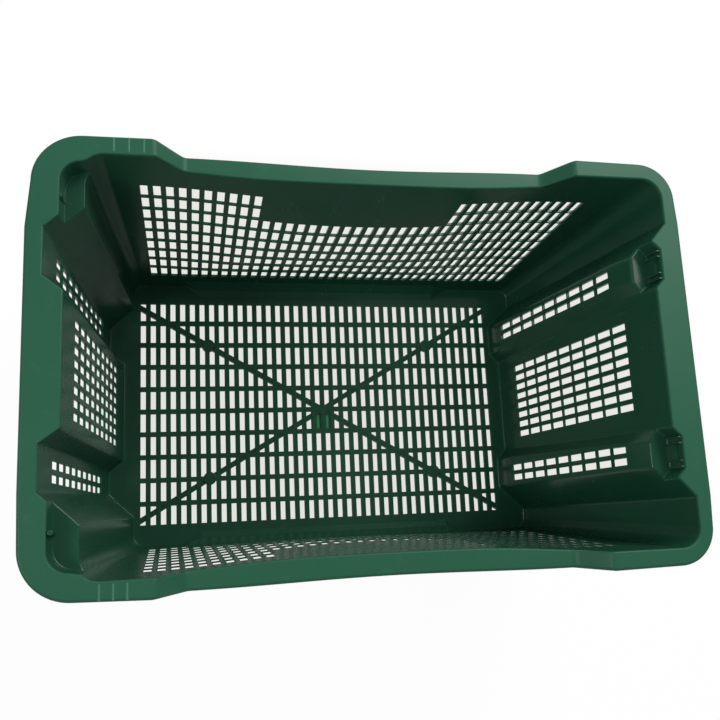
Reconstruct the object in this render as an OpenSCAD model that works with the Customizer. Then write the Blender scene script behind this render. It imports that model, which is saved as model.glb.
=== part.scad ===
// Harvest tub: one vented moulding, given here region by region.
// The origin is the middle of the base on the ground, X runs along the tub, Y across it and Z up.

/* [Overall] */
// Length over the rim
rim_length = 530; // [440:1:640]
// Width over the rim at the corners
rim_width = 340; // [285:1:410]
// Height of the end rims above the ground
tub_height = 295; // [245:1:355]

/* [Walls] */
// Thickness of the walls, measured level
wall_t = 1.6; // [1.2:0.1:2.5]
// Outward lean of the end walls in degrees
end_lean = 5.5; // [4:0.1:6.5]
// Outward lean of the long walls in degrees
side_lean = 3.7; // [2.5:0.1:4.5]
// Depth of the inward bow of the long walls
side_bow = 11.5; // [0:0.5:14]
// Height at which the long walls bow most
bow_height = 180; // [150:1:200]
// Inner corner radius at the floor
corner_r_low = 10; // [6:0.5:14]
// Inner corner radius at the rim
corner_r_high = 17; // [12:0.5:20]

/* [Left end] */
// How far the two bays stand out past the end panel
bay_out = 14.5; // [8:0.5:18]
// How far the two corner columns stand in from the end panel
column_in = 10.5; // [6:0.5:14]
// Width of a corner column face at the floor
column_w = 25.7; // [20:0.1:32]
// Width of the slanted face between column and bay
column_step_w = 23; // [16:0.5:26]
// Width of a bay at the floor
bay_w = 27; // [22:0.5:32]
// Width of the slanted face between bay and end panel
bay_step_w = 11; // [8:0.5:14]

/* [Right end] */
// How far the two inward strips stand in from the end panel
strip_in = 8.5; // [6:0.5:12]
// How far the two corners stand out past the end panel
corner_out = 14.5; // [8:0.5:18]
// Width of a corner face at the floor
corner_w = 20.7; // [16:0.1:28]
// Width of the slanted face between corner and strip
corner_step_w = 25; // [18:0.5:28]
// Width of a strip at the floor
strip_w = 30.5; // [27:0.5:35]
// Width of the slanted face between strip and end panel
strip_step_w = 10.5; // [8:0.5:14]
// Draft of the slanted faces, sideways travel for each unit of height
step_draft = 0.032; // [0:0.001:0.035]

/* [Stacking seats] */
// Depth of the seats below the end rims
seat_drop = 20; // [14:0.5:26]
// Thickness of a seat plate
seat_t = 2.4; // [2:0.1:4]
// Depth of the corner recess behind a left seat, from the column face
shelf_depth = 14.5; // [10:0.5:18]
// Outer radius of the corner recess
shelf_r = 16; // [10:0.5:18]
// Depth of the pocket behind a right seat, from the strip face
pocket_depth = 16; // [11:0.5:18]
// Width of the small ribs in the pockets
pocket_rib_w = 1.6; // [1.2:0.1:2.4]
// How far the small ribs stand out
pocket_rib_out = 3; // [2:0.1:4]

/* [Rim] */
// Thickness of the rim flange
flange_t = 3; // [2:0.1:4]
// Width of the flange at the middle of each end
end_flange = 27.5; // [20:0.5:34]
// Width of the flange along the long sides
side_flange = 14.5; // [10:0.5:20]
// Depth of the outer skirt below the flange
skirt_drop = 16; // [8:1:24]
// Thickness of the outer skirt
skirt_t = 2; // [1.6:0.1:3]
// Outer corner radius at the left end
rim_r_left = 37; // [28:1:44]
// Outer corner radius at the right end
rim_r_right = 31; // [24:1:40]
// Drop of the saddle in the long sides
saddle_drop = 22; // [12:0.5:28]
// Length of the high rim at each corner
corner_rim_len = 90; // [74:1:110]
// Length of the slope down to the saddle
slope_run = 25; // [16:1:36]
// How far the saddle is set in from the corners
saddle_inset = 4.5; // [0:0.5:8]
// Inward bow of the outer edge along the saddle
saddle_bow = 3; // [0:0.5:5]
// Rise of the short bars on the corner rims
bar_rise = 0.4; // [0.2:0.1:0.8]
// Length of those bars, across the rim
bar_len = 11; // [8:0.5:13]
// Width of those bars
bar_w = 1.4; // [1:0.1:2]
// Spacing of those bars
bar_pitch = 11; // [6:0.5:14]
// Thickness of the gussets under the end rims
gusset_t = 1.8; // [1.4:0.1:2.6]
// Spacing of the gussets
gusset_pitch = 24; // [18:1:30]

/* [Floor] */
// Height of the foot rails and the ribs under the floor
foot_h = 3; // [2:0.5:6]
// Thickness of the floor
floor_t = 3.5; // [2.5:0.1:5]
// Width of the foot rails
foot_w = 6; // [4:0.5:9]
// Setback of the foot rails from the wall
foot_inset = 1.5; // [0.5:0.5:3]
// Width of the two diagonal ribs
diagonal_w = 5.5; // [4:0.5:8]
// Distance of the ends of the diagonals from the corner of the grille
diagonal_set = 5; // [0:0.5:8]
// Diameter of the hub where the diagonals cross
hub_d = 16; // [12:0.5:20]
// Diameter of the bosses on the diagonals
boss_d = 11; // [8:0.5:14]
// Distance of the bosses from the middle of the floor
boss_reach = 141; // [110:1:150]
// Thickness of the closed webs beside the hub
web_t = 1; // [0.8:0.1:2]

/* [Cove along the long sides] */
// How far the floor is set in from the wall along the sides
cove_in = 12.2; // [8:0.1:14]
// Width of the low, flatter face of the cove
cove_flat = 6; // [4:0.1:8]
// Rise of that face
cove_rise = 3.5; // [2:0.1:5]
// Height of the cove above the ground
cove_top = 20; // [16:0.5:26]
// Length of the corner foot, from the corner round to the end of the cove
corner_foot = 41; // [30:1:50]
// Length of the slanted end of the cove
cove_run = 18; // [12:1:24]

/* [Slots] */
// Spacing of the slots across
slot_pitch = 10.25; // [9:0.05:12]
// Width of a slot
slot_w = 6; // [4:0.1:6.5]
// Spacing of the wall slots in height
row_pitch = 23.1; // [20:0.1:27]
// Height of the bar between two wall slots
row_bar = 1.7; // [1.4:0.1:5]
// Height of the lowest wall slots above the ground
row_start = 42.6; // [36:0.1:50]
// Spacing of the floor slots along their length
floor_pitch = 23.75; // [20:0.05:27]
// Width of the bar between two floor slots
floor_bar = 4.95; // [3:0.05:6]
// Half the length under the saddle where the two top rows are left closed
blank_half = 82; // [60:1:120]
// Number of top rows left closed there
blank_rows = 2; // [0:1:4]
// Least margin from a slot to the edge of the floor
floor_margin = 6; // [4:0.5:8]
// Least margin from a slot to the edge of the end panels
panel_margin = 9; // [6:0.5:12]
// Least margin from a slot to the edge of a bay
bay_margin = 3; // [2:0.5:5]
// Least margin from the top slots to the seats
top_margin = 20; // [14:1:26]

/* [Hidden] */

$fn = 48;
tub_green = "#1f4f3a";

// Levels
floor_top = foot_h + floor_t;
seat_z = tub_height - seat_drop;
seat_low = seat_z - seat_t;
flange_low = tub_height - flange_t;
saddle_z = tub_height - saddle_drop;
saddle_low = saddle_z - flange_t;
skirt_low = flange_low - skirt_drop;

// Half sizes at the rim, and the inside faces at the height z
half_l = rim_length / 2;
half_w = rim_width / 2;
end_slope = tan(end_lean);
side_slope = tan(side_lean);
function end_x(z) = half_l - end_flange - end_slope * (tub_height - z);
function side_y(z) = half_w - side_flange - side_slope * (tub_height - z);
function corner_r(z) = corner_r_low + (corner_r_high - corner_r_low) * z / tub_height;

// Edges of the faces across the left end at the height z, from the corner inwards
function left_d(z) = side_y(0) - column_w + step_draft * z;
function left_c(z) = left_d(z) - column_step_w;
left_b = side_y(0) - column_w - column_step_w - bay_w;
left_a = left_b - bay_step_w;

// The same across the right end
right_d = side_y(0) - corner_w;
right_c = right_d - corner_step_w;
function right_b(z) = right_c - strip_w + step_draft * z;
function right_a(z) = right_b(z) - strip_step_w;

// Plan vectors
function unit2(v) = v / norm(v);
function turned(v) = [-v[1], v[0]];
function flat(p, z) = [p[0], p[1], z];
// Vector that carries a corner of a path out to its left by the distance d
function miter(before, here, after, d) =
    let (
        a = turned(unit2(here - before)),
        b = turned(unit2(after - here)),
        m = unit2(a + b)
    )
    m * d / (m * a);
// The same for each inner point of a path, without its two ends
function miters(path, d) =
    [for (i = [1:len(path) - 2]) miter(path[i - 1], path[i], path[i + 1], d)];
function mirror_y(v) = [v[0], -v[1]];

// Half outline of the inside at each end, from the end panel to the back corner, and along the side.
// The right end is given as its mirror image, so that both lie at negative X
arc_steps = 6;
function arc_points(c, r) =
    [for (i = [0:arc_steps]) let (a = 180 - 90 * i / arc_steps) [c[0] + r * cos(a), c[1] + r * sin(a)]];
function corner_points(x, z) = arc_points([x + corner_r(z), side_y(z) - corner_r(z)], corner_r(z));
function left_side(z) = concat(
    [
        [-end_x(z), left_a],
        [-end_x(z) - bay_out, left_b],
        [-end_x(z) - bay_out, left_c(z)],
        [-end_x(z) + column_in, left_d(z)]],
    corner_points(-end_x(z) + column_in, z));
function right_side(z) = concat(
    [
        [-end_x(z), right_a(z)],
        [-end_x(z) + strip_in, right_b(z)],
        [-end_x(z) + strip_in, right_c],
        [-end_x(z) - corner_out, right_d]],
    corner_points(-end_x(z) - corner_out, z));
// Outward vectors at those points: the path before it starts on the middle line, and the last one
// points straight out of the long side
function outward(side) = concat(miters(concat([[side[0][0], 0]], side), wall_t), [[0, wall_t]]);
left_out = outward(left_side(floor_top));
right_out = outward(right_side(floor_top));
corner_end = len(left_out) - 1;
// Outward vector across the edge of a plate that leans with the end walls
function square_out(draft) = [-wall_t, draft * wall_t * sin(end_lean) * cos(end_lean)];
// Half width of the left end panel, and the edges of the right strips, at their outer corners
left_panel_y = left_a + left_out[0][1];
function strip_near(z) = right_b(z) + right_out[1][1];
strip_far = right_c + right_out[2][1];

// The recess over a left seat: it leaves the slanted face, runs behind the column and turns back
// into the corner halfway round
meet = 4 + arc_steps / 2;
function between(p, q, share) = p + share * (q - p);
function left_leave(p) = between(p[2], p[3], 1 - shelf_depth / (p[3][0] - p[2][0]));
function left_recess(z) =
    let (p = left_side(z), leave = left_leave(p))
    concat(
        [p[2], between(p[2], leave, 0.5), leave],
        arc_points([leave[0] + shelf_r, p[meet][1] - shelf_r], shelf_r),
        [for (i = [meet:corner_end]) p[i]]);
// The faces below it, with as many points
function left_below(z) =
    let (p = left_side(z), leave = left_leave(p))
    concat(
        [p[2], between(p[2], leave, 0.5), leave],
        [for (i = [1:arc_steps - 4]) between(leave, p[3], i / (arc_steps - 3))],
        [p[3], between(p[3], p[4], 0.5)],
        [for (i = [4:corner_end]) p[i]]);
// The pocket over a right seat
function right_recess(z) =
    let (
        p = right_side(z),
        back = p[1][0] - pocket_depth,
        side = p[0][0] - back,
        leave = between(p[2], p[3], strip_in / (strip_in + corner_out))
    )
    [p[0], [back, p[0][1] + side], [back, leave[1] - side], leave, p[3]];
// The faces below it, with as many points
function right_below(z) =
    let (p = right_side(z))
    [p[0], p[1], p[2], right_recess(z)[3], p[3]];
left_recess_out =
    let (path = left_recess(seat_z), out = miters(path, wall_t), n = len(out) - 1)
    concat(
        [square_out(step_draft), left_out[2] + path[0] - path[1]],
        [for (i = [1:n]) out[i]],
        [left_out[corner_end]]);
right_recess_out = concat([square_out(step_draft)], miters(right_recess(seat_z), wall_t), [right_out[3]]);

// Inside of the long walls: bowed in between the corners, most at bow_height
function raised_cosine(t) = abs(t) < 1 ? (1 + cos(180 * t)) / 2 : 0;
function left_end_x(z) = left_side(z)[corner_end][0];
function right_end_x(z) = -right_side(z)[corner_end][0];
bow_reach = -left_end_x(cove_top);
function bow_along(x) = side_bow * raised_cosine(x / bow_reach);
function bow_up(z) =
    let (t = (z - cove_top) / (bow_height - cove_top))
    t > 0 && t < 2 ? side_bow * pow(sin(90 * t), 1.5) : 0;
function long_y(x, z) = side_y(z) - min(bow_along(x), bow_up(z));
bow_steps = 12;
bow_xs = [for (i = [0:bow_steps]) (2 * i / bow_steps - 1) * bow_reach];
bow_zs = [for (i = [0:bow_steps]) cove_top + i / bow_steps * (tub_height - cove_top)];

// Stations along the long walls
saddle_half = half_l - corner_rim_len - slope_run;
slope_end = saddle_half + slope_run;
saddle_steps = 10;
saddle_xs = [for (i = [-saddle_steps / 2:saddle_steps / 2]) i * 2 * saddle_half / saddle_steps];

// Slots
function fit(room, pitch, bar) = floor((room + bar) / pitch);
slot_bar = slot_pitch - slot_w;
row_h = row_pitch - row_bar;
rows = fit(seat_low - top_margin - row_start, row_pitch, row_bar);
function row_z(j) = row_start + row_h / 2 + j * row_pitch;
function spread(n) = [for (i = [0:n - 1]) (i - (n - 1) / 2) * slot_pitch];
panel_ys = spread(fit(2 * (left_a - panel_margin), slot_pitch, slot_bar));
bay_slots = fit(bay_w - 2 * bay_margin, slot_pitch, slot_bar);
bay_ys = [for (v = spread(bay_slots)) v + (left_b + left_c(tub_height)) / 2];
strip_ys = [for (v = spread(bay_slots)) v + (right_b(tub_height / 2) + right_c) / 2];
long_shift = round((corner_out + column_in) / 2 / slot_pitch) * slot_pitch;
long_room = 2 * (bow_reach + long_shift - floor_margin);
long_xs = [for (v = spread(fit(long_room, slot_pitch, slot_bar))) v + long_shift];

// Floor grille
slot_l = floor_pitch - floor_bar;
grille_edge = 2;
floor_cols = fit(2 * (end_x(floor_top) - column_in - floor_margin), slot_pitch, slot_bar);
floor_rows = fit(2 * (side_y(floor_top) - cove_in - floor_margin), floor_pitch, floor_bar);
grille_x = (floor_cols * slot_pitch - slot_bar) / 2 + grille_edge;
grille_y = (floor_rows * floor_pitch - floor_bar) / 2 + grille_edge;
function floor_y(j) = (j - (floor_rows - 1) / 2) * floor_pitch;
diagonal_angle = atan((grille_y - diagonal_set) / grille_x);
diagonal_l = 2 * grille_x / cos(diagonal_angle);

// Cove along the long sides, in the YZ plane
cove_out_x = bow_reach - corner_foot;
cove_in_x = cove_out_x - cove_run;
cove_foot_y = side_y(floor_top) - cove_in;
cove_line = [
    [cove_foot_y, floor_top], [cove_foot_y + cove_flat, floor_top + cove_rise], [side_y(cove_top), cove_top]];
cove_low_out = wall_t / sin(atan(cove_rise / cove_flat));
cove_mid_out = -miter(cove_line[0], cove_line[1], cove_line[2], wall_t);

// A closed slab between two nets of points, each a list of rows
module slab(inner, outer) {
    n = len(inner[0]);
    m = len(inner);
    k = n * m;
    net = [for (i = [0:m - 2]) for (j = [0:n - 2]) let (a = i * n + j) [a, a + 1, a + n, a + n + 1]];
    front_faces = [for (q = net) each [[q[0], q[1], q[2]], [q[1], q[3], q[2]]]];
    back_faces = [for (f = front_faces) [f[2] + k, f[1] + k, f[0] + k]];
    rim_path = concat(
        [for (j = [0:n - 1]) j], [for (i = [1:m - 1]) i * n + n - 1],
        [for (j = [n - 2:-1:0]) (m - 1) * n + j], [for (i = [m - 2:-1:1]) i * n]);
    edge = [for (i = [0:len(rim_path) - 1])
        let (a = rim_path[i], b = rim_path[(i + 1) % len(rim_path)])
        each [[a, a + k, b], [b, a + k, b + k]]];
    polyhedron(
        points = concat([for (r = inner) each r], [for (r = outer) each r]),
        faces = concat(front_faces, back_faces, edge), convexity = 12);
}

// A stretch of wall between two heights, from its inner and outer plan paths at each
module wall_run(inner_low, inner_high, outer_low, outer_high, low, high) {
    slab(
        [[for (p = inner_low) flat(p, low)], [for (p = inner_high) flat(p, high)]],
        [[for (p = outer_low) flat(p, low)], [for (p = outer_high) flat(p, high)]]);
}
function part_of(list, first, last) = [for (i = [first:last]) list[i]];
module front() {
    mirror([0, 1, 0]) children();
}
module flip() {
    mirror([1, 0, 0]) children();
}

// A box that holds one half of the tub, with room to spare
module half_box() {
    cube([rim_length, 2 * rim_width, tub_height]);
}

// Slotted plate in an end wall: its inner face stands in by the given distance, and its edges are
// given at the ground and at the rim
module end_plate(inset, near, far_edge, top, ys) {
    t = wall_t * cos(end_lean);
    v = tub_height / cos(end_lean);
    over = 0.1;
    function edge(e, share) = [between(e[0], e[1], share), share * v];
    difference() {
        translate([-end_x(0) + inset, 0, 0])
        rotate([0, -end_lean, 0])
        translate([-t, 0, 0])
        rotate([90, 0, 90])
        linear_extrude(t)
        polygon([edge(near, 0), edge(far_edge, 0), edge(far_edge, 1 + over), edge(near, 1 + over)]);
        translate([-rim_length, -rim_width, floor_top - tub_height]) half_box();
        translate([-rim_length, -rim_width, top]) half_box();
        for (y = ys, j = [0:rows - 1])
            translate([-end_x(row_z(j)), y, row_z(j)]) cube([end_flange * 2, slot_w, row_h], center = true);
    }
}
module left_end_panel() {
    color(tub_green)
    end_plate(0, [-left_panel_y, -left_panel_y], [left_panel_y, left_panel_y], flange_low, panel_ys);
}
module right_end_panel() {
    edge = [right_a(0), right_a(tub_height)];
    color(tub_green) flip() end_plate(0, -edge, edge, flange_low, panel_ys);
}

// Left end, back half: slanted face, bay, slanted face, corner column
module left_bay_step() {
    function inner(z) = let (p = left_side(z)) [[p[0][0], left_panel_y], p[0], p[1]];
    function outer(z) = let (p = left_side(z)) [p[0] + left_out[0], p[1] + left_out[1], p[1] + square_out(0)];
    color(tub_green)
    wall_run(
        inner(floor_top), inner(flange_low), outer(floor_top), outer(flange_low), floor_top, flange_low);
}
module left_bay() {
    color(tub_green)
    end_plate(-bay_out, [left_b, left_b], [left_c(0), left_c(tub_height)], flange_low, bay_ys);
}
module left_column_step() {
    function inner(z) = let (p = left_side(z)) [p[2], between(p[2], p[3], 0.5), p[3]];
    function outer(z) =
        let (p = left_side(z))
        [p[2] + square_out(step_draft), p[2] + left_out[2], p[3] + left_out[3]];
    color(tub_green)
    wall_run(inner(floor_top), inner(seat_low), outer(floor_top), outer(seat_low), floor_top, seat_low);
}
module left_column() {
    function inner(z) = part_of(left_side(z), 3, corner_end);
    function outer(z) = part_of(left_side(z) + left_out, 3, corner_end);
    color(tub_green)
    wall_run(inner(floor_top), inner(seat_low), outer(floor_top), outer(seat_low), floor_top, seat_low);
}

// Right end, back half, all drawn as their mirror image
module right_strip_step() {
    function inner(z) = let (p = right_side(z)) [p[0], p[1], [p[1][0], strip_near(z)]];
    function outer(z) =
        let (p = right_side(z))
        [p[0] + square_out(step_draft), p[0] + right_out[0], [p[1][0], strip_near(z)] + square_out(step_draft)];
    color(tub_green)
    flip()
    wall_run(inner(floor_top), inner(seat_low), outer(floor_top), outer(seat_low), floor_top, seat_low);
}
module right_strip() {
    color(tub_green)
    flip()
    end_plate(strip_in, [strip_near(0), strip_near(tub_height)], [strip_far, strip_far], seat_low, strip_ys);
}
module right_corner_step() {
    function inner(z) = let (p = right_side(z)) [[p[2][0], strip_far], p[2], p[3]];
    function outer(z) =
        let (p = right_side(z), a = p[2] + right_out[2], b = p[3] + right_out[3])
        [a, between(a, b, 0.5), b];
    color(tub_green)
    flip()
    wall_run(inner(floor_top), inner(seat_low), outer(floor_top), outer(seat_low), floor_top, seat_low);
}
module right_corner() {
    function inner(z) = part_of(right_side(z), 3, corner_end);
    function outer(z) = part_of(right_side(z) + right_out, 3, corner_end);
    color(tub_green)
    flip()
    wall_run(
        inner(floor_top), inner(flange_low), outer(floor_top), outer(flange_low), floor_top, flange_low);
}

// Seat plates between the faces below them and the outside of the recess above
module left_shelf() {
    color(tub_green)
    wall_run(
        left_below(seat_low), left_below(seat_z),
        left_recess(seat_low) + left_recess_out, left_recess(seat_z) + left_recess_out,
        seat_low, seat_z);
}
module right_seat() {
    color(tub_green)
    flip()
    wall_run(
        right_below(seat_low), right_below(seat_z),
        right_recess(seat_low) + right_recess_out, right_recess(seat_z) + right_recess_out,
        seat_low, seat_z);
}
// Walls of the recesses, from the seats up to the rim
module left_collar() {
    color(tub_green)
    wall_run(
        left_recess(seat_z), left_recess(flange_low),
        left_recess(seat_z) + left_recess_out, left_recess(flange_low) + left_recess_out,
        seat_z, flange_low);
}
module right_collar() {
    color(tub_green)
    flip()
    wall_run(
        right_recess(seat_z), right_recess(flange_low),
        right_recess(seat_z) + right_recess_out, right_recess(flange_low) + right_recess_out,
        seat_z, flange_low);
}
// Small upright ribs on the back of each pocket
pocket_rib_count = 4;
module pocket_rib(i) {
    p = right_recess(seat_z);
    y = between(p[1][1], p[2][1], (i + 0.5) / pocket_rib_count);
    near = [y + pocket_rib_w / 2, y - pocket_rib_w / 2];
    function at(z, out) = [for (v = near) [right_recess(z)[1][0] + out, v]];
    wall_run(at(seat_z, pocket_rib_out), at(flange_low, pocket_rib_out), at(seat_z, 0), at(flange_low, 0),
        seat_z, flange_low);
}
module right_pocket_ribs() {
    color(tub_green)
    flip()
    for (i = [0:pocket_rib_count - 1]) {
        pocket_rib(i);
        front() pocket_rib(i);
    }
}

// All space behind the inner face of a long wall: one bow along the wall, and one up it
module behind_wall() {
    intersection() {
        translate([0, side_y(0), 0])
        rotate([-side_lean, 0, 0])
        linear_extrude(tub_height * 1.1)
        polygon(concat(
            [for (x = bow_xs) [x, -bow_along(x) * cos(side_lean)]],
            [[half_l, 0], [half_l, half_w], [-half_l, half_w], [-half_l, 0]]));
        translate([-half_l, 0, 0])
        rotate([90, 0, 90])
        linear_extrude(rim_length)
        polygon(concat(
            [for (z = bow_zs) [side_y(z) - bow_up(z), z]],
            [[rim_width, tub_height], [rim_width, 0], [side_y(0), 0]]));
    }
}
// A shape given from the front, carried through the back half of the tub
module from_front(outline) {
    translate([0, half_w, 0]) rotate([90, 0, 0]) linear_extrude(half_w) polygon(outline);
}
module long_wall() {
    color(tub_green)
    difference() {
        intersection() {
            behind_wall();
            from_front([
                [left_end_x(cove_top), cove_top], [left_end_x(flange_low), flange_low],
                [-slope_end, flange_low], [-saddle_half, saddle_low],
                [saddle_half, saddle_low], [slope_end, flange_low],
                [right_end_x(flange_low), flange_low], [right_end_x(cove_top), cove_top]]);
        }
        translate([0, wall_t, 0]) behind_wall();
        for (x = long_xs, j = [0:rows - 1])
            if (j < rows - blank_rows || abs(x) > blank_half)
                translate([x, half_w, row_z(j)]) cube([slot_w, half_w, row_h], center = true);
    }
}

// Cove: the floor is set in along the middle of each side, with a low face and a steep one
function cove_row(i) =
    let (z = cove_line[i][1], y = cove_line[i][0])
    [
        [left_end_x(z), side_y(z), z], [-cove_out_x, side_y(z), z], [-cove_in_x, y, z],
        [cove_in_x, y, z], [cove_out_x, side_y(z), z], [right_end_x(z), side_y(z), z]];
function cove_out(i) =
    let (mid = [[0, cove_low_out, 0], [0, cove_mid_out[0], cove_mid_out[1]], [0, wall_t, 0]][i])
    [
        [0, wall_t, 0], [0, wall_t, 0], mid,
        mid, [0, wall_t, 0], [0, wall_t, 0]];
module side_cove() {
    color(tub_green)
    slab([for (i = [0:2]) cove_row(i)], [for (i = [0:2]) cove_row(i) + cove_out(i)]);
}

// Half outline of the base, all the way round, set off outwards by the distance d
function base_half(d) =
    let (
        z = floor_top,
        back = [
            [-cove_out_x, side_y(z)], [-cove_in_x, cove_foot_y], [cove_in_x, cove_foot_y],
            [cove_out_x, side_y(z)]],
        right = [for (i = [corner_end:-1:0]) let (p = right_side(z)[i]) [-p[0], p[1]]],
        path = concat([[-end_x(z), -1]], left_side(z), back, right, [[end_x(z), -1]]),
        out = miters(path, d)
    )
    concat(
        [[path[0][0] - d, 0]],
        [for (i = [0:len(out) - 1]) path[i + 1] + out[i]],
        [[path[len(path) - 1][0] + d, 0]]);
module base_plate(d, low, high) {
    for (m = [0, 1])
        mirror([0, m, 0])
        translate([0, 0, low]) linear_extrude(high - low) polygon(base_half(d));
}
module zone_left(x) {
    translate([-rim_length, -rim_width, -foot_h]) cube([rim_length - x, 2 * rim_width, tub_height]);
}
module zone_back(x, y) {
    translate([-x, y, -foot_h]) cube([2 * x, rim_width, tub_height]);
}
module border() {
    difference() {
        base_plate(wall_t, foot_h, floor_top);
        translate([-grille_x, -grille_y, 0]) cube([2 * grille_x, 2 * grille_y, tub_height]);
    }
}
rail_in = wall_t - foot_inset - foot_w;
module rail_ring() {
    difference() {
        base_plate(rail_in + foot_w, 0, foot_h);
        base_plate(rail_in, -1, foot_h + 1);
    }
}

module diagonal(angle, low, high) {
    translate([0, 0, (low + high) / 2])
    rotate([0, 0, angle])
    cube([diagonal_l, diagonal_w, high - low], center = true);
}
module both_diagonals(low, high) {
    for (s = [-1, 1]) diagonal(s * diagonal_angle, low, high);
}
module floor_slot(x, y, low, high) {
    translate([x, y, (low + high) / 2]) cube([slot_w, slot_l, high - low], center = true);
}
module floor_grille() {
    color(tub_green)
    union() {
        difference() {
            translate([-grille_x, -grille_y, foot_h]) cube([2 * grille_x, 2 * grille_y, floor_t]);
            for (x = spread(floor_cols), j = [0:floor_rows - 1])
                floor_slot(x, floor_y(j), foot_h - 1, floor_top + 1);
        }
        intersection() {
            both_diagonals(foot_h, floor_top);
            translate([-grille_x, -grille_y, foot_h]) cube([2 * grille_x, 2 * grille_y, floor_t]);
        }
        translate([0, 0, foot_h]) cylinder(d = hub_d, h = floor_t);
    }
}
module floor_border_left() {
    color(tub_green) intersection() { border(); zone_left(grille_x); }
}
module floor_border_right() {
    color(tub_green) intersection() { border(); flip() zone_left(grille_x); }
}
module floor_border_back() {
    color(tub_green) intersection() { border(); zone_back(grille_x, grille_y); }
}
module foot_rail_left() {
    color(tub_green) intersection() { rail_ring(); zone_left(cove_in_x); }
}
module foot_rail_right() {
    color(tub_green) intersection() { rail_ring(); flip() zone_left(cove_in_x); }
}
module foot_rail_back() {
    color(tub_green) intersection() { rail_ring(); zone_back(cove_in_x, 0); }
}

// Ribs under the floor: two diagonals, with a hub and four bosses let into them
boss_spots = [for (s = [-1, 1], t = [0, 180]) [s * diagonal_angle, t]];
module boss_holes(low, high) {
    for (b = boss_spots)
        rotate([0, 0, b[0] + b[1]]) translate([boss_reach, 0, low]) cylinder(d = boss_d, h = high - low);
}
module diagonal_rib(angle) {
    color(tub_green)
    difference() {
        intersection() {
            diagonal(angle, 0, foot_h);
            base_plate(rail_in, -1, foot_h + 1);
        }
        translate([0, 0, -1]) cylinder(d = hub_d, h = foot_h + 2);
        boss_holes(-1, foot_h + 1);
    }
}
module diagonal_rib_a() {
    diagonal_rib(diagonal_angle);
}
module diagonal_rib_b() {
    diagonal_rib(-diagonal_angle);
}
module gate_hub() {
    color(tub_green) cylinder(d = hub_d, h = foot_h);
}
module rib_bosses() {
    color(tub_green) boss_holes(0, foot_h);
}
// The two slots just in front of the hub are closed by thin webs
module gate_webs() {
    color("#2f7a4f")
    difference() {
        for (s = [-1, 1])
            floor_slot(s * slot_pitch / 2, -floor_pitch / 2, foot_h, foot_h + web_t);
        both_diagonals(foot_h - 1, foot_h + web_t + 1);
        translate([0, 0, foot_h - 1]) cylinder(d = hub_d, h = web_t + 2);
    }
}

// Rim at the ends: a flat flange with a skirt at its outer edge
module end_rim(half) {
    mirrored = [for (i = [len(half) - 1:-1:0]) mirror_y(half[i])];
    reach = half[len(half) - 1][1];
    translate([0, 0, flange_low])
    linear_extrude(flange_t)
    polygon(concat([[-half_l, -reach]], mirrored, half, [[-half_l, reach]]));
    translate([-half_l, -reach, skirt_low]) cube([skirt_t, 2 * reach, skirt_drop]);
}
module left_rim() {
    color(tub_green) end_rim(part_of(left_side(flange_low), 0, 2));
}
module right_rim() {
    color(tub_green) flip() end_rim(right_recess(flange_low));
}
// Corner of the rim, from the end rim round to the top of the slope
function rim_corner(r, d, first_y) = concat(
    [[-half_l + d, first_y]],
    arc_points([-half_l + r, half_w - r], r - d),
    [[-slope_end, half_w - d]]);
module corner_rim(inner, r) {
    translate([0, 0, flange_low])
    linear_extrude(flange_t)
    polygon(concat(
        rim_corner(r, 0, inner[0][1]), [[-slope_end, long_y(slope_end, flange_low)]],
        [for (i = [len(inner) - 1:-1:0]) inner[i]]));
    inside = rim_corner(r, skirt_t, inner[0][1]);
    translate([0, 0, skirt_low])
    linear_extrude(skirt_drop)
    polygon(concat(rim_corner(r, 0, inner[0][1]), [for (i = [len(inside) - 1:-1:0]) inside[i]]));
}
module left_corner_rim() {
    color(tub_green) corner_rim(left_recess(flange_low), rim_r_left);
}
module right_corner_rim() {
    color(tub_green)
    flip()
    corner_rim(part_of(right_side(flange_low), 3, corner_end), rim_r_right);
}

// Saddle: the low stretch of the rim, and the slopes up to the corners
function saddle_y(x) = half_w - saddle_inset - saddle_bow * raised_cosine(x / saddle_half);
module saddle_rim() {
    outer = [for (x = saddle_xs) [x, saddle_y(x)]];
    hem = [for (i = [len(outer) - 1:-1:0]) outer[i] - [0, skirt_t]];
    color(tub_green) {
        intersection() {
            behind_wall();
            translate([0, 0, saddle_low])
            linear_extrude(flange_t)
            polygon(concat(outer, [[saddle_half, 0], [-saddle_half, 0]]));
        }
        translate([0, 0, saddle_low - skirt_drop]) linear_extrude(skirt_drop) polygon(concat(outer, hem));
    }
}
function slope_band(low, high) = [
    [saddle_half, saddle_low + low], [slope_end, flange_low + low],
    [slope_end, flange_low + high], [saddle_half, saddle_low + high]];
module slope_plan(depth) {
    linear_extrude(tub_height)
    polygon([
        [saddle_half, saddle_y(saddle_half) - depth], [slope_end, half_w - depth],
        [slope_end, half_w], [saddle_half, saddle_y(saddle_half)]]);
}
module slope_rim() {
    color(tub_green) {
        intersection() {
            behind_wall();
            from_front(slope_band(0, flange_t));
            slope_plan(half_w / 2);
        }
        intersection() {
            from_front(slope_band(-skirt_drop, 0));
            slope_plan(skirt_t);
        }
    }
}

// Short raised bars across the rim, on the two left corners
bar_count = 3;
bar_set = 6;
module rim_bars() {
    color(tub_green)
    for (s = [0, 1], i = [0:bar_count - 1])
        mirror([0, s, 0])
        translate([-slope_end - bar_set - i * bar_pitch, half_w - side_flange / 2, tub_height + bar_rise / 2])
        cube([bar_w, bar_len, bar_rise], center = true);
}

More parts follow.
